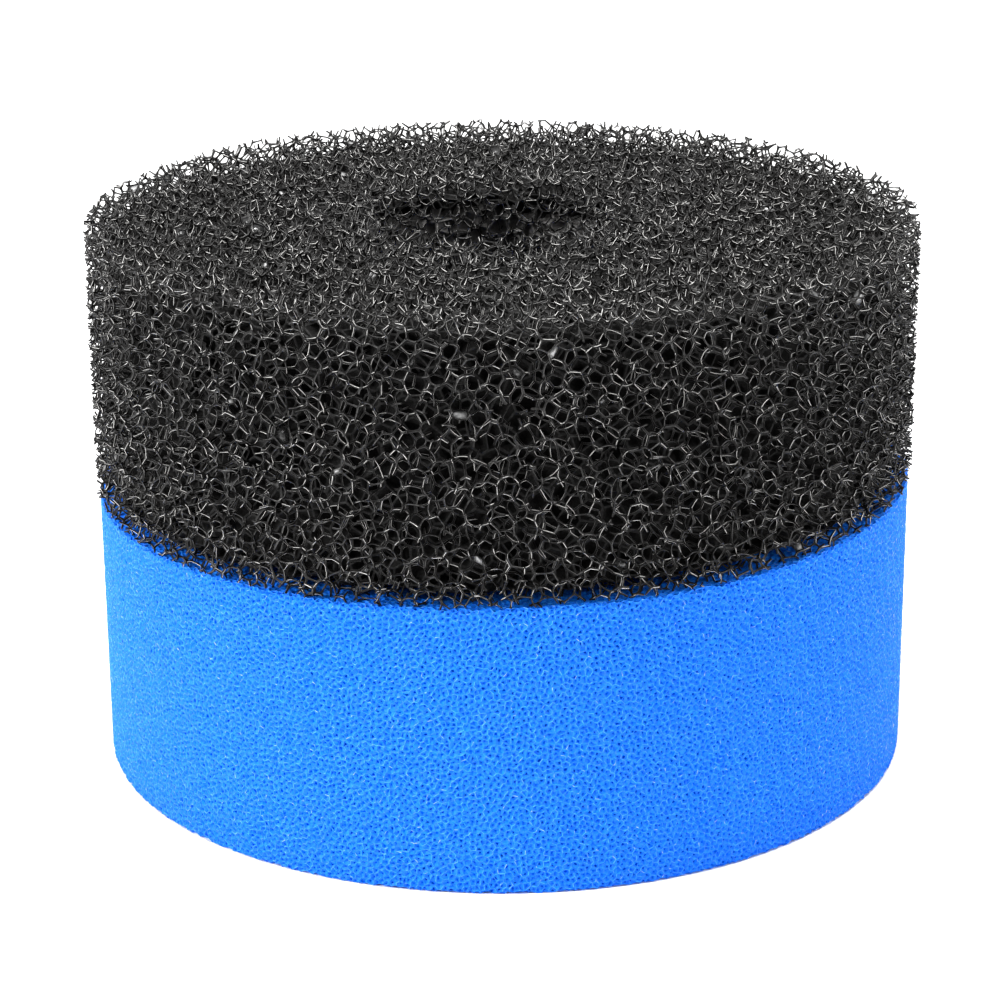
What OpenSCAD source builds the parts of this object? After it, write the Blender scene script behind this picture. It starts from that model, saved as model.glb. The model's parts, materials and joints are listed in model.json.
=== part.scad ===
// Two-stage filter sponge: a coarse foam ring resting on a fine foam ring.
// Both rings slide over one upright centre tube inside a canister, and water is
// drawn through the foam into the bore. The rings aren't bonded: the coarse ring
// lifts off the fine ring to be rinsed.
// Millimetres, +Z up. The origin is the centre of the underside of the fine ring.

/* [Fine ring] */
// Outer diameter of the fine ring
fine_d = 200; // [160:1:240]
// Height of the fine ring
fine_h = 69; // [40:1:100]
// Radius of the rounding along the cut edges of the fine ring
fine_edge = 0.8; // [0.4:0.1:3]

/* [Coarse ring] */
// Outer diameter of the coarse ring, which stands slightly proud of the fine ring
coarse_d = 201; // [160:1:240]
// Height of the coarse ring
coarse_h = 66; // [40:1:100]
// Radius of the rounding along the cut edges of the coarse ring
coarse_edge = 1.6; // [0.4:0.1:3]

/* [Bore] */
// Diameter of the bore through both rings, for a 55 mm centre tube
bore_d = 57; // [30:1:80]

/* [Hidden] */
$fn = 180;

// Upright cross-section of a ring's wall, with x as the distance from the axis and
// y as the height: a rectangle whose four corners are rounded to the given radius.
module wall_section(inner_x, outer_x, height, corner) {
    translate([inner_x + corner, 0])
        square([outer_x - inner_x - 2 * corner, height]);
    translate([inner_x, corner])
        square([outer_x - inner_x, height - 2 * corner]);
    for (x = [inner_x + corner, outer_x - corner], y = [corner, height - corner])
        translate([x, y]) circle(corner);
}

// A foam ring with its underside at z = 0: a short round block with a straight
// bore, and a small rounding along all four of its cut edges.
module foam_ring(outer_d, height, edge) {
    rotate_extrude()
        wall_section(bore_d / 2, outer_d / 2, height, edge);
}

// Lower ring: soft fine-pored foam, the polishing stage.
module fine_ring() {
    color([0.13, 0.48, 1.0])
        foam_ring(fine_d, fine_h, fine_edge);
}

// Upper ring: stiff coarse-pored foam, the first stage. It stands on the fine ring.
module coarse_ring() {
    color([0.10, 0.10, 0.11])
        translate([0, 0, fine_h])
            foam_ring(coarse_d, coarse_h, coarse_edge);
}

fine_ring();
coarse_ring();
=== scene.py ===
"""The two-stage filter sponge as it looks: a ring of coarse black foam on a ring of fine blue foam.

Both foams are meshes of their real structure, in metres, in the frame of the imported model. The coarse
foam is a network of struts round shaken cells. The fine foam's skin is a web of thin struts with a
pore between them. Each foam is built in wedges, so that no single mesh is too large to export whole.
"""

import itertools
import json
import math
from collections import namedtuple

import bpy
import numpy as np
from mathutils import Euler, Matrix, Vector
from mathutils.geometry import delaunay_2d_cdt
from mathutils.kdtree import KDTree


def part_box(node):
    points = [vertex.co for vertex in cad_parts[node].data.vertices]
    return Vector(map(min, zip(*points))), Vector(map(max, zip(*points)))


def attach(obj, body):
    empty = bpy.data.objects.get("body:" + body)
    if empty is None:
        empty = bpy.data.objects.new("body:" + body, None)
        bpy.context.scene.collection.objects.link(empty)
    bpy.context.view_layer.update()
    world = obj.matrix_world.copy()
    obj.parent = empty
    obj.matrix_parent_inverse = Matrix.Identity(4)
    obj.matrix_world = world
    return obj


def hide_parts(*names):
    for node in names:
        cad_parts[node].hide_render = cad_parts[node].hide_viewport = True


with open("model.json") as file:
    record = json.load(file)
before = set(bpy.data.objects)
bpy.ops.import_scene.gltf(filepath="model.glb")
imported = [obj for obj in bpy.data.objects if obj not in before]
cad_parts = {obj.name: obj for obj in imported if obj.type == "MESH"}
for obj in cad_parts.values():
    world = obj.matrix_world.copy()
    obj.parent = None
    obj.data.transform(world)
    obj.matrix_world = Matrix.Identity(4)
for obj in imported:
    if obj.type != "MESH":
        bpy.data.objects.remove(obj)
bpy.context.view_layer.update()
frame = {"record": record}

MM = 0.001
FULL_TURN = 2 * math.pi
UP = np.array([0.0, 0.0, 1.0])

# A ring's wall: its two radii, its lowest and highest level and the rounding of its cut edges.
Ring = namedtuple("Ring", "inner outer low high edge")


def ring_of(node, bore, edge):
    """The ring that a CAD node holds, with the bore that the record states for it."""
    low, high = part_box(node)
    radius = next(m["dims"]["r_mm"] for m in frame["record"]["mounts"] if m["name"] == bore)
    return Ring(radius * MM, high.x, low.z, high.z, edge)


# The fine foam's edges are cut sharper than the CAD rounds them.
FINE = ring_of("fine_ring", "fine_bore", edge=0.3 * MM)
COARSE = ring_of("coarse_ring", "coarse_bore", edge=1.6 * MM)

# ---------------------------------------------------------------- shared geometry

WEDGES = 11  # pieces that each foam is built in
HOLE_OFF = -3 * MM  # how far the hole is off the middle, along X
CUT_SLOPE = 0.02  # how much the cut between the rings rises along X


def wall_of(ring):
    """The middle of a ring's wall section, and half its width and height within the rounding."""
    middle = np.array([ring.inner + ring.outer, ring.low + ring.high]) / 2
    half = np.array([ring.outer - ring.inner, ring.high - ring.low]) / 2
    return middle, half - ring.edge


def depth_in(ring, points):
    """How far each point lies below the ring's surface, negative outside the ring."""
    middle, straight = wall_of(ring)
    section = np.stack([np.hypot(points[:, 0], points[:, 1]), points[:, 2]], axis=1)
    over = np.abs(section - middle) - straight
    outside = np.linalg.norm(np.maximum(over, 0), axis=1)
    return ring.edge - outside - np.minimum(over.max(axis=1), 0)


def unit(vectors):
    return vectors / np.maximum(np.linalg.norm(vectors, axis=-1, keepdims=True), 1e-12)


def turns_left(a, b, c, eye):
    """Whether a, b and c turn to the left as seen from the eye."""
    return (np.cross(b - a, c - a) * (eye - a)).sum(axis=1) > 0


def wedge_of(points):
    """The number of the wedge that each point is in."""
    turn = np.arctan2(points[:, 1], points[:, 0]) % FULL_TURN
    return np.minimum((turn / FULL_TURN * WEDGES).astype(int), WEDGES - 1)


def as_cut(points):
    """Points of true rings moved to where they are in the photo's: the cut between the two rings
    slopes a little, and the hole is off the middle."""
    x, y, z = points.T
    up = np.minimum(z / FINE.high, (COARSE.high - z) / (COARSE.high - COARSE.low))
    inwards = (FINE.outer - np.hypot(x, y)) / (FINE.outer - FINE.inner)
    return np.stack([x + HOLE_OFF * inwards.clip(0, 1), y, z + CUT_SLOPE * x * up.clip(0, 1)], axis=1)


def make_piece(name, points, triangles, tones, materials, smooth):
    """A mesh object from arrays. tones and smooth give each triangle's material and shading."""
    used, corners = np.unique(triangles, return_inverse=True)
    mesh = bpy.data.meshes.new(name)
    mesh.vertices.add(len(used))
    mesh.vertices.foreach_set("co", as_cut(points[used]).astype(np.float32).ravel())
    mesh.loops.add(3 * len(triangles))
    mesh.loops.foreach_set("vertex_index", corners.astype(np.int32).ravel())
    mesh.polygons.add(len(triangles))
    mesh.polygons.foreach_set("loop_start", np.arange(0, 3 * len(triangles), 3, dtype=np.int32))
    mesh.polygons.foreach_set("material_index", tones.astype(np.int32))
    mesh.polygons.foreach_set("use_smooth", smooth)
    mesh.update(calc_edges=True)
    for material in materials:
        mesh.materials.append(material)
    piece = bpy.data.objects.new(name, mesh)
    bpy.context.scene.collection.objects.link(piece)
    return piece


def make_foam(name, points, triangles, tones, wedges, materials, body, node, smooth):
    """One piece for each wedge of a foam ring. wedges gives each triangle's wedge."""
    for wedge in range(WEDGES):
        mine = wedges == wedge
        label = f"{name}_{wedge + 1}"
        piece = make_piece(label, points, triangles[mine], tones[mine], materials, smooth[mine])
        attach(piece, body)
        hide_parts(node)


# ---------------------------------------------------------------- coarse foam: a network of struts

CELL = 5.2 * MM  # diameter of a coarse foam cell
LATTICE = (math.pi / 3 * CELL**3) ** (1 / 3)  # two cells to each cube of the lattice
LATTICE_TURN = Euler((0.5, 0.3, 0.2))  # turned out of line with the ring
SHAKE = 0.15  # how far cell centres stray, in lattice cubes
NEAR = 24  # neighbours that can touch a cell
BLOCK = 400  # cells worked on at a time
SHELL = 4.7 * MM  # how deep the struts are modelled
UNDER_SHELL = 1.5 * MM  # and on the underside
MARGIN = 5.5 * MM  # cell centres kept beyond the modelled struts
STRUT = 0.35 * MM  # from a node to its film points
WAIST = 0.58  # how far off its axis a strut's ridges are halfway, as a share of that
RIDGE = 0.15 * MM  # width of the ridge that a lost film leaves along a strut
RAGGED = 0.3 * MM  # how unevenly the knife cut the struts
TORN = 0.07  # share of the nodes near the surface that are torn out
TORN_DEPTH = 3 * MM
TORN_SHARE = (0.3, 0.9)  # how much of a strut is left where the node beyond is torn out
SHORTEST_STUB = 0.1 * MM
STUB_TAPER = 0.75  # width of a cut strut's end, as a share of its width at the node
FILMED = 0.016  # share of the windows that still hold their film
PAINTED_GLINT_FILMS = 0.4  # share of those painted pale as glints: painted highlights
FILM_BULGE = 0.2 * MM
OMITTED = np.array([(1, 2, 3), (0, 2, 3), (0, 1, 3), (0, 1, 2)])
PAIRS = list(itertools.combinations(range(4), 2))
ROUND = np.array([(0, 1, 2, 3, 4, 5), (1, 0, 5, 4, 3, 2)])  # both ways round a strut's six edges
ROUND_FILMS = np.array([(0, 1, 2), (0, 2, 1)])  # and round its three films
BODY, CREST, FILM = range(3)  # kinds of triangles

# Nodes and the four cells round each. Each strut joins two nodes: ends holds them, and slots holds, for
# both, the column of the node's own cell that the strut doesn't touch.
Foam = namedtuple("Foam", "cells places owners ends slots")


def neighbours(points, count):
    """The indices of the count nearest other points to each point, nearest first."""
    tree = KDTree(len(points))
    for i, point in enumerate(points):
        tree.insert(point, i)
    tree.balance()
    return np.array([[j for _, j, _ in tree.find_n(p, count + 1)][1:] for p in points])


def cell_centres(ring, core, rng):
    """Cell centres in and just around the wall's outer shell: a body-centred lattice, shaken."""
    reach = math.ceil(1.5 * ring.outer / LATTICE)
    steps = np.arange(-reach, reach + 1)
    cubes = np.stack(np.meshgrid(steps, steps, steps, indexing="ij"), axis=-1).reshape(-1, 3)
    centres = np.concatenate([cubes, cubes + 0.5]) * LATTICE @ np.array(LATTICE_TURN.to_matrix())
    centres += rng.normal(0, SHAKE * LATTICE, centres.shape)
    centres[:, 2] += (ring.low + ring.high) / 2
    kept = (depth_in(ring, centres) > -MARGIN) & (depth_in(core, centres) < MARGIN)
    return centres[kept]


def foam_nodes(cells):
    """The points where four cells meet, as (places, the four cells of each in order)."""
    near = neighbours(cells, NEAR)
    away = cells[near] - cells[:, None]
    half_square = (away**2).sum(axis=2) / 2
    triples = np.array(list(itertools.combinations(range(NEAR), 3)))
    places, owners = [], []
    for start in range(0, len(cells), BLOCK):
        block = np.arange(start, min(start + BLOCK, len(cells)))
        later = near[block] > block[:, None]  # so that each node is found from one cell only
        own, which = np.nonzero(later[:, triples].all(axis=2))
        own += start
        corner = triples[which]
        a, b, c = (away[own, corner[:, i]] for i in range(3))
        square = half_square[own[:, None], corner]
        ab, bc, ca = np.cross(a, b), np.cross(b, c), np.cross(c, a)
        volume = (a * bc).sum(axis=1)
        flat = np.abs(volume) < 1e-3 * LATTICE**3
        volume[flat] = 1
        place = (square[:, :1] * bc + square[:, 1:2] * ca + square[:, 2:] * ab) / volume[:, None]
        close = ~flat & ((place**2).sum(axis=1) < LATTICE**2)
        own, place, corner = own[close], place[close], corner[close]
        gap = half_square[own] - np.einsum("nij,nj->ni", away[own], place)
        empty = (gap > -1e-6 * LATTICE**2).all(axis=1)
        own, place, corner = own[empty], place[empty], corner[empty]
        places.append(cells[own] + place)
        owners.append(np.column_stack([own, near[own[:, None], corner]]))
    return np.concatenate(places), np.sort(np.concatenate(owners), axis=1)


def struts_of(owners, count):
    """The struts as (ends, slots). A strut lies along three cells that exactly two nodes share."""
    cells = owners[:, OMITTED].astype(np.int64)
    key = ((cells[..., 0] * count + cells[..., 1]) * count + cells[..., 2]).ravel()
    order = np.argsort(key, kind="stable")
    same = np.concatenate([[False], key[order][1:] == key[order][:-1], [False]])
    first = np.flatnonzero(same[1:-1] & ~same[:-2] & ~same[2:])
    both = np.stack([order[first], order[first + 1]], axis=1)
    return both // 4, both % 4


def relaxed(places, ends, rounds, share):
    """The nodes drawn towards the mean of those they are joined to, which evens out the struts."""
    joined = np.bincount(ends.ravel(), minlength=len(places))[:, None]
    for _ in range(rounds):
        total = np.zeros_like(places)
        for near, far in (ends.T, ends.T[::-1]):
            for axis in range(3):
                total[:, axis] += np.bincount(near, places[far, axis], minlength=len(places))
        mean = np.where(joined > 0, total / np.maximum(joined, 1), places)
        places = places + share * (mean - places)
    return places


def grow_foam(ring, core, rng):
    cells = cell_centres(ring, core, rng)
    places, owners = foam_nodes(cells)
    ends, slots = struts_of(owners, len(cells))
    return Foam(cells, relaxed(places, ends, rounds=2, share=0.45), owners, ends, slots)


class StrutMesh:
    """The skin of the strut network round the kept nodes.

    Every node has six film points, one for each pair of its cells, where the films met that the real
    foam has lost. Each is a pair of corners, a ridge's width apart, one towards each of the two cells.
    Four triangles join them at the node, one facing each cell, and a strut with three broad sides and
    three ridges runs on from each of the other four. A strut towards a node that isn't kept ends in
    a flat cut. Each triangle is listed with its node, which sets its wedge, its ridge, or -1, and its kind.
    """

    def __init__(self, foam, kept, thick):
        self.foam = foam
        self.thick = thick
        self.length = np.full((len(foam.places), 4), np.inf)
        self.towards = np.zeros((len(foam.places), 4, 3))
        for near, far in ((0, 1), (1, 0)):
            step = foam.places[foam.ends[:, far]] - foam.places[foam.ends[:, near]]
            self.towards[foam.ends[:, near], foam.slots[:, near]] = unit(step)
            self.length[foam.ends[:, near], foam.slots[:, near]] = np.linalg.norm(step, axis=1)
        self.kept = kept & np.isfinite(self.length).all(axis=1)
        self.number = np.cumsum(self.kept) - 1
        self.film_of = np.zeros((4, 4), int)
        for i, (a, b) in enumerate(PAIRS):
            self.film_of[a, b] = self.film_of[b, a] = i
        self.points = np.zeros((0, 3))
        self.rows = []

    def add_points(self, points):
        """Adds points given as (..., 3), and returns their indices in the same arrangement."""
        first = len(self.points)
        self.points = np.concatenate([self.points, points.reshape(-1, 3)])
        return first + np.arange(points[..., 0].size).reshape(points.shape[:-1])

    def add(self, triangles, nodes, ridges, kind):
        row = np.empty((len(triangles), 6), int)
        row[:, :3], row[:, 3], row[:, 4], row[:, 5] = triangles, nodes, ridges, kind
        self.rows.append(row)

    def add_sides(self, first, second, nodes, struts):
        """Two triangles on each of a strut's sides, between two rings of six corners. The first
        side is a ridge, the next a broad side, and so on."""
        for i in range(6):
            j = (i + 1) % 6
            kind, ridges = (BODY, -1) if i % 2 else (CREST, 3 * struts + i // 2)
            self.add(np.stack([first[:, i], first[:, j], second[:, j]], axis=1), nodes, ridges, kind)
            self.add(np.stack([first[:, i], second[:, j], second[:, i]], axis=1), nodes, ridges, kind)

    def add_end(self, ring, nodes):
        for i in range(1, 5):
            self.add(ring[:, [0, i, i + 1]], nodes, -1, BODY)

    def add_nodes(self):
        """The corners of the film points, and the triangle that faces each cell."""
        kept, places = np.flatnonzero(self.kept), self.foam.places[self.kept]
        cells = self.foam.cells[self.foam.owners[kept]]
        reach = np.minimum(self.thick[kept], 0.7 * self.length[kept].min(axis=1))[:, None]
        corners = []
        for a, b in PAIRS:
            away = unit(sum(self.towards[kept, k] for k in range(4) if k not in (a, b)))
            film = places + reach * away
            across = unit(cells[:, b] - cells[:, a]) * np.minimum(RIDGE / 2, 0.2 * reach)
            corners.append(np.stack([film - across, film + across], axis=1))
        at = self.add_points(np.stack(corners, axis=1))
        for own in range(4):
            others = OMITTED[own]
            facing = [at[:, self.film_of[own, other], int(own > other)] for other in others]
            facing = np.stack(facing, axis=1)
            wrong = ~turns_left(*(cells[:, i] for i in others), cells[:, own])
            facing[wrong] = facing[wrong][:, ::-1]
            self.add(facing, kept, -1, BODY)

    def way_round(self, node, slot):
        """Which way round the strut's corners go, so that its sides face out going away from the node."""
        cells = self.foam.cells[self.foam.owners[node]]
        around = np.take_along_axis(cells, OMITTED[slot][..., None], axis=1)
        behind = cells[np.arange(len(node)), slot]
        return turns_left(around[:, 0], around[:, 1], around[:, 2], behind).astype(int)

    def ring_at(self, node, slot, way):
        """The six corners round a strut at a node, with the two of each film point together."""
        a, b, c = OMITTED[slot].T
        ab, bc, ac = 2 * self.film_of[a, b], 2 * self.film_of[b, c], 2 * self.film_of[a, c]
        corners = np.stack([ab, ab + 1, bc, bc + 1, ac + 1, ac], axis=1)
        corners = np.take_along_axis(corners, ROUND[way], axis=1)
        return self.number[node][:, None] * 2 * len(PAIRS) + corners

    def add_struts(self, wedge):
        """The struts between kept nodes, parted halfway where their nodes are in different wedges.
        Returns the edges of the lost films, as (window, the first of the two corners at one end,
        halfway and at the other end, whether that is clockwise), and their nodes. A window's two
        cells are in order, and clockwise is as seen from the second."""
        foam, thick = self.foam, self.thick
        whole = np.flatnonzero(self.kept[foam.ends].all(axis=1))
        node, far = foam.ends[whole].T
        along = unit(foam.places[far] - foam.places[node])[:, None]
        way = self.way_round(node, foam.slots[whole, 0])
        first = self.ring_at(node, foam.slots[whole, 0], way)
        second = self.ring_at(far, foam.slots[whole, 1], way)

        middle = ((foam.places[node] + foam.places[far]) / 2)[:, None]
        mean = (self.points[first] + self.points[second]) / 2 - middle
        mean -= (mean * along).sum(axis=2, keepdims=True) * along
        crest = mean.reshape(-1, 3, 2, 3).mean(axis=2)
        wide = np.linalg.norm(crest, axis=2).min(axis=1)
        size = np.minimum(WAIST * (thick[node] + thick[far]) / 2, 0.9 * wide)[:, None, None]
        mean += np.repeat(unit(crest) * size - crest, 2, axis=1)
        centre = self.add_points(middle + mean)
        self.add_sides(first, centre, node, whole)
        self.add_sides(centre, second, far, whole)
        parted = wedge[node] != wedge[far]
        self.add_end(centre[parted], node[parted])
        self.add_end(centre[parted][:, ::-1], far[parted])

        around = np.take_along_axis(foam.owners[node], OMITTED[foam.slots[whole, 0]], axis=1)
        a, b, c = around.T.astype(np.int64)
        count = len(foam.cells)
        window = np.stack([a * count + b, b * count + c, a * count + c], axis=1)
        window = np.take_along_axis(window, ROUND_FILMS[way], axis=1)
        clockwise = np.take_along_axis(np.stack([way, way, 1 - way], axis=1), ROUND_FILMS[way], axis=1)
        pairs = [ring.reshape(-1, 3, 2).min(axis=2) for ring in (first, centre, second)]
        return np.stack([window, *pairs, clockwise], axis=-1).reshape(-1, 5), np.repeat(node, 3)

    def add_stubs(self, cut_at):
        """The struts towards nodes that aren't kept. cut_at says how far each runs."""
        foam = self.foam
        for near_end in (0, 1):
            near_kept, far_kept = (self.kept[foam.ends[:, end]] for end in (near_end, 1 - near_end))
            cut = np.flatnonzero(near_kept & ~far_kept)
            node, far = foam.ends[cut, near_end], foam.ends[cut, 1 - near_end]
            along = unit(foam.places[far] - foam.places[node])[:, None]
            slot = foam.slots[cut, near_end]
            first = self.ring_at(node, slot, self.way_round(node, slot))
            off = self.points[first] - foam.places[node][:, None]
            ahead = (off * along).sum(axis=2, keepdims=True)
            off -= ahead * along
            run = np.maximum(cut_at(foam.places[node], foam.places[far]), SHORTEST_STUB)
            run = ahead.max(axis=1) + run[:, None]
            second = self.add_points(foam.places[node][:, None] + along * run[:, None] + STUB_TAPER * off)
            self.add_sides(first, second, node, cut)
            self.add_end(second, node)

    def add_films(self, edges, nodes, rng):
        """Films left in a few windows: thin closed lenses between the struts."""
        ends = edges[:, [1, 3]]
        once = np.bincount(ends.ravel())[ends].min(axis=1) < 2
        windows, member = np.unique(edges[:, 0], return_inverse=True)
        whole = np.bincount(member, once) == 0
        chosen = (whole & (rng.random(len(windows)) < FILMED))[member]
        edges, nodes, member = edges[chosen], nodes[chosen], member[chosen]
        slots, member = np.unique(member, return_inverse=True)
        old, rim = np.unique(edges[:, 1:4], return_inverse=True)
        rim = self.add_points((self.points[old] + self.points[old + 1]) / 2)[rim].reshape(-1, 3)
        hub = np.stack([np.bincount(member, self.points[rim[:, 1], k]) for k in range(3)], axis=1)
        hub /= np.bincount(member)[:, None]
        a, b = divmod(windows[slots], len(self.foam.cells))
        normal = unit(self.foam.cells[b] - self.foam.cells[a])
        front, back = (self.add_points(hub + side * FILM_BULGE * normal)[member] for side in (1, -1))
        clockwise = edges[:, 4] == 1
        rim[clockwise] = rim[clockwise][:, ::-1]
        first_node = np.zeros(len(slots), int)
        first_node[member] = nodes
        for i in range(2):
            for corners in ((front, rim[:, i], rim[:, i + 1]), (back, rim[:, i + 1], rim[:, i])):
                self.add(np.stack(corners, axis=1), first_node[member], -1, FILM)


def strut_cut(ring, core, rng):
    """A function that says how far along each strut it is cut: at the ring's ragged surface, or
    anywhere where the node beyond was torn out. Struts into the core run on to their nodes."""

    def cut_at(start, end):
        below, above = depth_in(ring, start), depth_in(ring, end)
        below += rng.normal(0, RAGGED, len(below))
        at_surface = below / np.maximum(below - above, 1e-6)
        share = np.where(above < 0, at_surface, rng.uniform(*TORN_SHARE, len(below)))
        share[depth_in(core, end) > 0] = 1
        return np.clip(share, 0, 1) * np.linalg.norm(end - start, axis=1)

    return cut_at


def make_coarse_foam(ring, core, materials, rng):
    """materials holds two tones for the struts' sides, three lighter ones for their ridges as painted
    highlights, and two for the films, the pale one a painted glint.
    """
    foam = grow_foam(ring, core, rng)
    depth = depth_in(ring, foam.places)
    torn = (depth < TORN_DEPTH) & (rng.random(len(depth)) < TORN)
    kept = (depth > 0) & (depth_in(core, foam.places) < 0) & ~torn
    wedge = wedge_of(foam.places)
    mesh = StrutMesh(foam, kept, STRUT * rng.uniform(0.75, 1.2, len(depth)))
    mesh.add_nodes()
    edges, edge_nodes = mesh.add_struts(wedge)
    mesh.add_stubs(strut_cut(ring, core, rng))
    mesh.add_films(edges, edge_nodes, rng)

    triangles, nodes, ridges, kinds = np.split(np.concatenate(mesh.rows), [3, 4, 5], axis=1)
    nodes, ridges, kinds = nodes.ravel(), ridges.ravel(), kinds.ravel()
    side_tone = rng.choice(2, len(foam.places), p=[0.6, 0.4])[nodes]
    # The ridges' tones are lighter than the sides': painted highlights along the struts.
    crest_tone = 2 + rng.choice(3, 3 * len(foam.ends), p=[0.45, 0.3, 0.25])[ridges]
    # The pale films are painted glints.
    film_tone = 5 + (rng.random(len(foam.places)) < PAINTED_GLINT_FILMS)[nodes]
    tones = np.choose(kinds, [side_tone, crest_tone, film_tone])
    body, node, smooth = "coarse", "coarse_ring", kinds != BODY
    make_foam("coarse_foam", mesh.points, triangles, tones, wedge[nodes], materials, body, node, smooth)


# ---------------------------------------------------------------- pitted skins: the fine foam and the core

# A ring's skin laid flat so that small shapes keep their shape: one row for each of many points round
# the wall's section. along is the distance on the flat map, which is in radians of a full turn.
FlatSkin = namedtuple("FlatSkin", "along outline normals swept")

# Sizes of a pitted skin: pore is the spacing of the pores, web half the width of the strut between
# two, sink how far struts stray below the surface, fray how much further they do along the cut edges,
# throat the depth of the narrowest part of a pore, pit the depth of its end, and opening the range of
# the throat's width as a share of the pore's.
Pits = namedtuple("Pits", "pore web sink fray throat pit opening")

SEAM = 0.3  # radians that the flat map is repeated beyond its edges


def flat_skin(ring):
    middle, straight = wall_of(ring)
    turns = np.linspace(0, math.pi / 2, 12)
    loop, normals = [], []
    for side, start in (((1, 1), 0), ((-1, 1), 1), ((-1, -1), 2), ((1, -1), 3)):
        turn = turns + start * math.pi / 2
        out = np.stack([np.cos(turn), np.sin(turn)], axis=1)
        loop.append(middle + straight * side + ring.edge * out)
        normals.append(out)
    loop = np.concatenate(loop + [loop[0][:1]])
    normals = np.concatenate(normals + [normals[0][:1]])
    run = np.concatenate([[0], np.cumsum(np.linalg.norm(np.diff(loop, axis=0), axis=1))])
    at = np.linspace(0, run[-1], int(run[-1] / (0.05 * MM)))
    outline, normals = (
        np.stack([np.interp(at, run, values[:, k]) for k in range(2)], axis=1) for values in (loop, normals)
    )
    step, radius = at[1], (outline[1:, 0] + outline[:-1, 0]) / 2
    along = np.concatenate([[0], np.cumsum(step / radius)])
    swept = np.concatenate([[0], np.cumsum(step * radius)]) * FULL_TURN
    return FlatSkin(along, outline, normals, swept)


def on_skin(skin, spots):
    """The points in space of spots on the flat map, and the outward normals there."""
    at = spots[:, 0] % skin.along[-1]
    across, level = (np.interp(at, skin.along, skin.outline[:, k]) for k in range(2))
    out, up = (np.interp(at, skin.along, skin.normals[:, k]) for k in range(2))
    around = np.stack([np.cos(spots[:, 1]), np.sin(spots[:, 1]), np.zeros(len(spots))], axis=1)
    return around * across[:, None] + np.outer(level, UP), unit(around * out[:, None] + np.outer(up, UP))


def pore_spots(skin, pore, rng):
    """Spots on the flat map that are spread evenly over the skin, a pore's spacing apart, and shaken."""
    count = int(skin.swept[-1] / (0.866 * pore**2))
    at = np.interp((np.arange(count) + 0.5) / count * skin.swept[-1], skin.swept, skin.along)
    turn = np.arange(count) * math.pi * (3 - math.sqrt(5))
    radius = np.interp(at, skin.along, skin.outline[:, 0])
    return np.stack([at, turn], axis=1) + rng.normal(0, 0.3 * pore, (count, 2)) / radius[:, None]


def pore_corners(skin, spots):
    """Where three pores meet: (spots of these nodes, then for each corner of each pore's polygon the
    pore, the node and the way from one to the other on the flat map)."""
    period = np.array([skin.along[-1], FULL_TURN])
    spots = spots % period
    tiles = [spots + period * shift for shift in itertools.product((0, -1, 1), repeat=2)]
    places, sources = np.concatenate(tiles), np.tile(np.arange(len(spots)), len(tiles))
    inside = ((places > -SEAM) & (places < period + SEAM)).all(axis=1)
    places, sources = places[inside], sources[inside]
    _, _, faces, *_ = delaunay_2d_cdt([Vector(p) for p in places], [], [], 0, 1e-7)
    faces = np.array(faces)
    a, b, c = (places[faces[:, i]] for i in range(3))
    ab, ac = b - a, c - a
    square_b, square_c = (ab**2).sum(axis=1), (ac**2).sum(axis=1)
    twice = 2 * (ab[:, 0] * ac[:, 1] - ab[:, 1] * ac[:, 0])
    twice[np.abs(twice) < 1e-12] = 1e-12
    centre = a + np.stack([
        (ac[:, 1] * square_b - ab[:, 1] * square_c) / twice,
        (ab[:, 0] * square_c - ac[:, 0] * square_b) / twice,
    ], axis=1)
    home = ((centre >= 0) & (centre < period)).all(axis=1)
    centre, faces = centre[home], faces[home]
    way = centre[:, None] - places[faces]
    return centre, sources[faces].ravel(), np.repeat(np.arange(len(faces)), 3), way.reshape(-1, 2)


def evened(skin, spots, rounds, share):
    """The pores drawn towards the middles of their polygons."""
    for _ in range(rounds):
        _, pore, _, way = pore_corners(skin, spots)
        shift = np.stack([np.bincount(pore, way[:, k], minlength=len(spots)) for k in range(2)], axis=1)
        spots = spots + share * shift / np.bincount(pore, minlength=len(spots))[:, None]
    return spots


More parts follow.
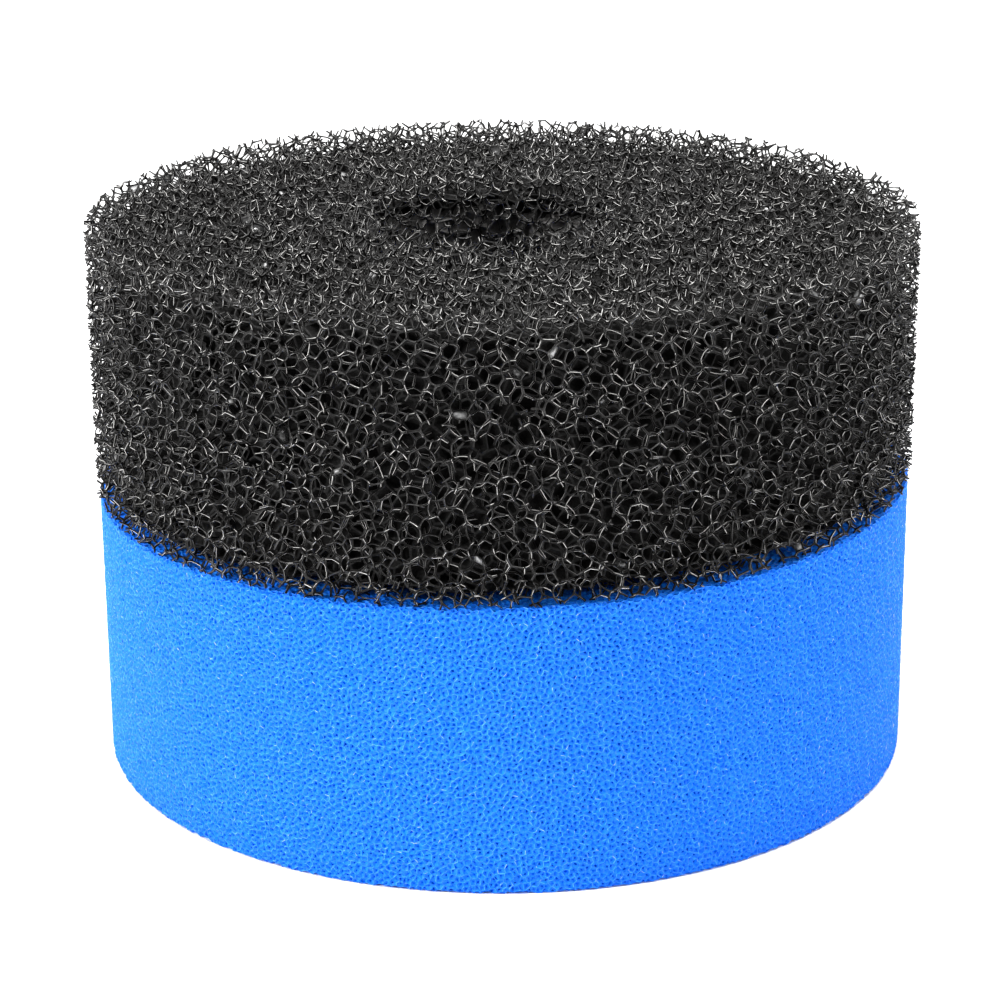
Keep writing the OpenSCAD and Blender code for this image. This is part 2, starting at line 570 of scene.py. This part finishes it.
def pitted_skin(ring, pits, rng):
    """The skin's mesh, as (points, triangles, the kind of each: 0 strut, 1 slope, 2 pit, its pore,
    and which of the pore's sides it is on).

    Each pore is a polygon of nodes on the surface. From the strut's ridge the skin goes down over its
    side to the rim, down a slope to the throat, and on to the end of the pit.
    """
    skin = flat_skin(ring)
    spots = evened(skin, pore_spots(skin, pits.pore, rng), rounds=3, share=0.5)
    node_spots, pore, node, way = pore_corners(skin, spots)
    order = np.lexsort((-np.arctan2(way[:, 1], way[:, 0]), pore))
    pore, node = pore[order], node[order]
    start = np.concatenate([[0], np.flatnonzero(np.diff(pore)) + 1])
    following = np.arange(1, len(pore) + 1)
    following[np.concatenate([start[1:], [len(pore)]]) - 1] = start

    count = len(spots)
    ridge, out = on_skin(skin, node_spots)
    on_edge = 2 * np.hypot(out[:, 0], out[:, 1]) * np.abs(out[:, 2])
    sunk = pits.sink * rng.random(len(ridge)) ** 2 + pits.fray * on_edge * rng.random(len(ridge))
    ridge = ridge - out * sunk[:, None]
    _, axis = on_skin(skin, spots)
    centre = np.stack([np.bincount(pore, ridge[node, k]) for k in range(3)], axis=1)
    centre /= np.bincount(pore)[:, None]
    step = ridge[node] - centre[pore]
    size = np.linalg.norm(step, axis=1, keepdims=True)
    web = pits.web * rng.uniform(0.8, 1.4, (len(node), 1))
    rim = ridge[node] - step / size * np.minimum(web, 0.4 * size) - out[node] * 0.7 * web
    aside = rng.normal(0, 0.1 * pits.pore, (count, 3))
    middle = centre + aside - axis * (aside * axis).sum(axis=1, keepdims=True)
    opening = rng.uniform(*pits.opening, count)[pore, None] * rng.uniform(0.5, 1.6, (len(node), 1))
    throat_depth = (pits.throat * rng.uniform(0.8, 1.2, count))[pore, None]
    throat = middle[pore] + opening * step - axis[pore] * throat_depth
    bottom = middle - axis * (pits.pit * rng.uniform(0.7, 1.2, count))[:, None]

    points = np.concatenate([ridge, rim, throat, bottom])
    corner = np.arange(len(node))
    rim_at = len(ridge) + corner
    throat_at = rim_at + len(corner)
    bottom_at = len(ridge) + 2 * len(corner) + pore
    rows = [
        (0, node, node[following], rim_at[following]),
        (0, node, rim_at[following], rim_at),
        (1, rim_at, rim_at[following], throat_at[following]),
        (1, rim_at, throat_at[following], throat_at),
        (2, throat_at, throat_at[following], bottom_at),
    ]
    triangles = np.concatenate([np.stack(row[1:], axis=1) for row in rows])
    kinds = np.repeat([row[0] for row in rows], len(corner))
    side = corner - np.repeat(start, np.diff(np.append(start, len(pore))))
    return points, triangles, kinds, np.tile(pore, len(rows)), np.tile(side, len(rows))


def closed_wedges(ring, points, triangles, wedges, tones, end_tone):
    """The same mesh with each wedge closed at both its ends, by a fan to the middle of the wall."""
    middle, _ = wall_of(ring)
    radius, level = middle
    turns = np.arange(WEDGES) * FULL_TURN / WEDGES
    hubs = [radius * np.cos(turns), radius * np.sin(turns), np.full(WEDGES, level)]
    hubs = np.stack(hubs, axis=1)
    first, total = len(points), len(points) + WEDGES
    points = np.concatenate([points, hubs])
    added, added_wedges = [], []
    for wedge in range(WEDGES):
        mine = triangles[wedges == wedge].astype(np.int64)
        start, end = mine.ravel(), np.roll(mine, -1, axis=1).ravel()
        forth, back = start * total + end, end * total + start
        open_edge = ~np.isin(forth, back)
        start, end = start[open_edge], end[open_edge]
        ends = np.array([wedge, (wedge + 1) % WEDGES])
        nearest = np.linalg.norm(points[start, None] - hubs[None, ends], axis=2).argmin(axis=1)
        hub = first + ends[nearest]
        added.append(np.stack([end, start, hub], axis=1))
        added_wedges.append(np.full(len(start), wedge))
    added, added_wedges = np.concatenate(added), np.concatenate(added_wedges)
    return (
        points,
        np.concatenate([triangles, added]),
        np.concatenate([wedges, added_wedges]),
        np.concatenate([tones, np.full(len(added), end_tone)]),
    )


FINE_PITS = Pits(
    pore=1.5 * MM,
    web=0.085 * MM,
    sink=0.22 * MM,
    fray=0.8 * MM,
    throat=0.28 * MM,
    pit=0.8 * MM,
    opening=(0.22, 0.34),
)
CORE_PITS = Pits(
    pore=4.6 * MM,
    web=0.3 * MM,
    sink=1.2 * MM,
    fray=0,
    throat=1.6 * MM,
    pit=3.2 * MM,
    opening=(0.5, 0.8),
)
STRUT_TONES = np.array([0, 1, 0, 1, 2])  # of the fine foam's struts round a pore; tones 1 and 2 are lighter as painted highlights
SLOPE_TONE, PIT_TONE, PAINTED_DEEP_SHADE_TONE, PAINTED_GLINT_TONE = 3, 5, 6, 7  # the slopes have two
PAINTED_SHADE_PITS = 0.35  # share of the fine foam's pores painted with deep shade at the end
PAINTED_GLINTS = 0.008  # share of the triangles of its struts that are shiny and painted pale as glints: painted highlights


def make_fine_foam(ring, materials, rng):
    """materials holds three tones for the struts, the two lighter ones painted highlights, two for the
    slopes, two darker ones for the pits as painted shade, and the painted glints.
    """
    points, triangles, kinds, pores, sides = pitted_skin(ring, FINE_PITS, rng)
    # Pits are darker than slopes as painted shade, and in a share of the pores that shade is deeper.
    dark = rng.random(pores.max() + 1)[pores] < PAINTED_SHADE_PITS
    strut_tones = STRUT_TONES[(sides + 3 * pores) % len(STRUT_TONES)]
    slope_tones = SLOPE_TONE + (sides + pores) % 2
    tones = np.choose(kinds, [strut_tones, slope_tones, np.where(dark, PAINTED_DEEP_SHADE_TONE, PIT_TONE)])
    # A few strut triangles are painted pale as glints: painted highlights.
    tones[(kinds == 0) & (rng.random(len(kinds)) < PAINTED_GLINTS)] = PAINTED_GLINT_TONE
    centres = points[len(points) - pores.max() - 1:]
    wedges = wedge_of(centres)[pores]
    points, triangles, wedges, tones = closed_wedges(
        ring, points, triangles, wedges, tones, PAINTED_DEEP_SHADE_TONE
    )
    smooth = (tones >= SLOPE_TONE) & (tones < PAINTED_GLINT_TONE)
    make_foam("fine_foam", points, triangles, tones, wedges, materials, "fine", "fine_ring", smooth)


def make_core(ring, materials, rng):
    """The coarse foam beyond the depth to which its struts are modelled, as one dark pitted body.
    materials holds tones for its struts, slopes and pits, each darker than the last as painted shade, and
    again for those round the hole, which are lighter as painted light: the light that real foam lets
    through brightens the hole."""
    points, triangles, kinds, _, _ = pitted_skin(ring, CORE_PITS, rng)
    x, y, z = points[triangles[:, 0]].T
    # The core round the hole gets lighter tones: painted light.
    painted_light_round_hole = (np.hypot(x, y) < ring.inner + CORE_PITS.pit) & (z < ring.high - CORE_PITS.pore)
    tones, smooth = kinds + 3 * painted_light_round_hole, np.ones(len(triangles), bool)
    core = make_piece("coarse_foam_core", points, triangles, tones, materials, smooth)
    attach(core, "coarse")
    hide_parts("coarse_ring")


# ---------------------------------------------------------------- materials

GRAIN = 0.5 * MM  # size of the unevenness of a foam's skin
RELIEF = 0.25  # its height, as a share of its size


def foam_material(name, colour, roughness, specular, grain=GRAIN):
    """A foam's polymer. Its skin is slightly uneven, and its gloss varies from spot to spot."""
    material = bpy.data.materials.new(name)
    material.use_nodes = True
    tree = material.node_tree
    shader = tree.nodes["Principled BSDF"]
    shader.inputs["Base Color"].default_value = (*colour, 1)
    shader.inputs["Roughness"].default_value = roughness
    place = tree.nodes.new("ShaderNodeTexCoord")
    noise = tree.nodes.new("ShaderNodeTexNoise")
    noise.inputs["Scale"].default_value = 1 / grain
    noise.inputs["Detail"].default_value = 1
    gloss = tree.nodes.new("ShaderNodeMapRange")
    gloss.inputs["From Min"].default_value = 0.35
    gloss.inputs["From Max"].default_value = 0.65
    gloss.inputs["To Min"].default_value = 0.6 * specular
    gloss.inputs["To Max"].default_value = min(1.4 * specular, 1)
    relief = tree.nodes.new("ShaderNodeDisplacement")
    relief.inputs["Scale"].default_value = RELIEF * grain
    tree.links.new(place.outputs["Object"], noise.inputs["Vector"])
    tree.links.new(noise.outputs["Fac"], gloss.inputs["Value"])
    tree.links.new(gloss.outputs["Result"], shader.inputs["Specular IOR Level"])
    tree.links.new(noise.outputs["Fac"], relief.inputs["Height"])
    tree.links.new(relief.outputs["Displacement"], tree.nodes["Material Output"].inputs["Displacement"])
    return material


# ---------------------------------------------------------------- studio


def make_floor():
    half = 6.0
    corners = [(x * half, y * half, 0) for x, y in ((-1, -1), (1, -1), (1, 1), (-1, 1))]
    mesh = bpy.data.meshes.new("floor")
    mesh.from_pydata(corners, [], [(0, 1, 2, 3)])
    mesh.materials.append(foam_material("floor_paper", (0.93, 0.93, 0.93), 0.9, 0.1, grain=2 * MM))
    floor = bpy.data.objects.new("floor", mesh)
    bpy.context.scene.collection.objects.link(floor)


def make_light(name, place, target, size, power):
    data = bpy.data.lights.new(name, "AREA")
    data.shape = "RECTANGLE"
    data.size, data.size_y = size
    data.energy = power
    light = bpy.data.objects.new(name, data)
    light.location = place
    light.rotation_euler = (Vector(target) - Vector(place)).to_track_quat("-Z", "Y").to_euler()
    bpy.context.scene.collection.objects.link(light)


def make_sun(name, width, strength):
    """Soft light from straight above, which reaches the far floor as much as the object. width is the
    angle of sky in degrees that it comes from."""
    data = bpy.data.lights.new(name, "SUN")
    data.angle = math.radians(width)
    data.energy = strength
    bpy.context.scene.collection.objects.link(bpy.data.objects.new(name, data))


def make_world(strength):
    world = bpy.data.worlds.new("studio")
    world.use_nodes = True
    background = world.node_tree.nodes["Background"]
    background.inputs["Color"].default_value = (1, 1, 1, 1)
    background.inputs["Strength"].default_value = strength
    bpy.context.scene.world = world


def make_camera():
    """The photo's camera: its place, its two tilts and the crop that isn't quite in the middle."""
    down, roll = 19.15, -0.36  # degrees
    data = bpy.data.cameras.new("camera")
    data.sensor_width = 36
    data.lens = 108.1
    data.shift_y = -0.0049
    camera = bpy.data.objects.new("camera", data)
    camera.location = (0, -0.716, 0.3084)
    aimed = Euler((math.radians(90 - down), 0, 0)).to_matrix()
    camera.rotation_euler = (aimed @ Matrix.Rotation(math.radians(roll), 3, "Z")).to_euler()
    bpy.context.scene.collection.objects.link(camera)
    bpy.context.scene.camera = camera


bpy.context.scene.view_settings.view_transform = "Standard"
AIM = (0, 0, 0.08)
make_world(0.35)
make_floor()
make_camera()
make_light("left_box", (-1.15, -0.4, 0.7), AIM, (0.45, 0.6), 23)
make_light("right_box", (1.15, -0.4, 0.6), AIM, (0.9, 1.0), 9.5)
make_light("top_box", (0, -0.1, 1.3), AIM, (0.6, 0.5), 17.5)
make_sun("ceiling", 22, 2.5)

core_ring = Ring(
    COARSE.inner + SHELL, COARSE.outer - SHELL, COARSE.low + UNDER_SHELL, COARSE.high - SHELL, COARSE.edge
)
blacks = [
    foam_material("coarse_side", (0.0065, 0.0062, 0.006), 0.6, 0.1),
    foam_material("coarse_side_satin", (0.0093, 0.009, 0.0087), 0.5, 0.2),
    # The ridges' tones are lighter than the sides, the third near white: painted highlights along the
    # struts.
    foam_material("coarse_ridge", (0.0165, 0.016, 0.0155), 0.45, 0.9),
    foam_material("coarse_ridge_painted_highlight", (0.046, 0.0445, 0.043), 0.4, 1.0),
    foam_material("coarse_ridge_painted_glint", (0.48, 0.47, 0.455), 0.35, 1.0),
    foam_material("coarse_film", (0.03, 0.03, 0.03), 0.2, 1.0),
    # The pale film is a painted glint.
    foam_material("coarse_film_painted_glint", (0.36, 0.36, 0.36), 0.25, 1.0),
]
make_coarse_foam(COARSE, core_ring, blacks, np.random.default_rng(7))
# The core's tones darken from its struts to its pits: painted shade. Those round the hole are lighter:
# painted light, for the light that real foam lets through.
deep_blacks = [
    foam_material("coarse_deep_strut", (0.01, 0.0097, 0.0095), 0.6, 0.2),
    foam_material("coarse_deep_side", (0.007, 0.0068, 0.0066), 0.8, 0.1),
    foam_material("coarse_deep_void_painted_shade", (0.005, 0.0048, 0.0047), 0.9, 0.1),
    foam_material("coarse_hole_strut_painted_light", (0.16, 0.156, 0.152), 0.6, 0.3),
    foam_material("coarse_hole_side_painted_light", (0.14, 0.136, 0.133), 0.8, 0.1),
    foam_material("coarse_hole_void_painted_light_and_shade", (0.12, 0.117, 0.114), 0.9, 0.1),
]
make_core(core_ring, deep_blacks, np.random.default_rng(5))
blues = [
    foam_material("fine_strut", (0.002, 0.14, 0.77), 0.5, 0.25),
    # The lighter strut tones are painted highlights.
    foam_material("fine_strut_painted_highlight", (0.006, 0.19, 0.81), 0.45, 0.3),
    foam_material("fine_strut_painted_bright_highlight", (0.04, 0.3, 0.88), 0.4, 0.4),
    foam_material("fine_slope", (0.001, 0.13, 0.75), 0.55, 0.15),
    foam_material("fine_slope_light", (0.004, 0.18, 0.79), 0.5, 0.2),
    # The pits' darker tones are painted shade.
    foam_material("fine_pit", (0, 0.11, 0.72), 0.7, 0.05),
    foam_material("fine_pit_painted_deep_shade", (0, 0.05, 0.5), 0.7, 0),
    # A painted glint.
    foam_material("fine_painted_glint", (0.45, 0.55, 0.7), 0.25, 1.0),
]
make_fine_foam(FINE, blues, np.random.default_rng(11))
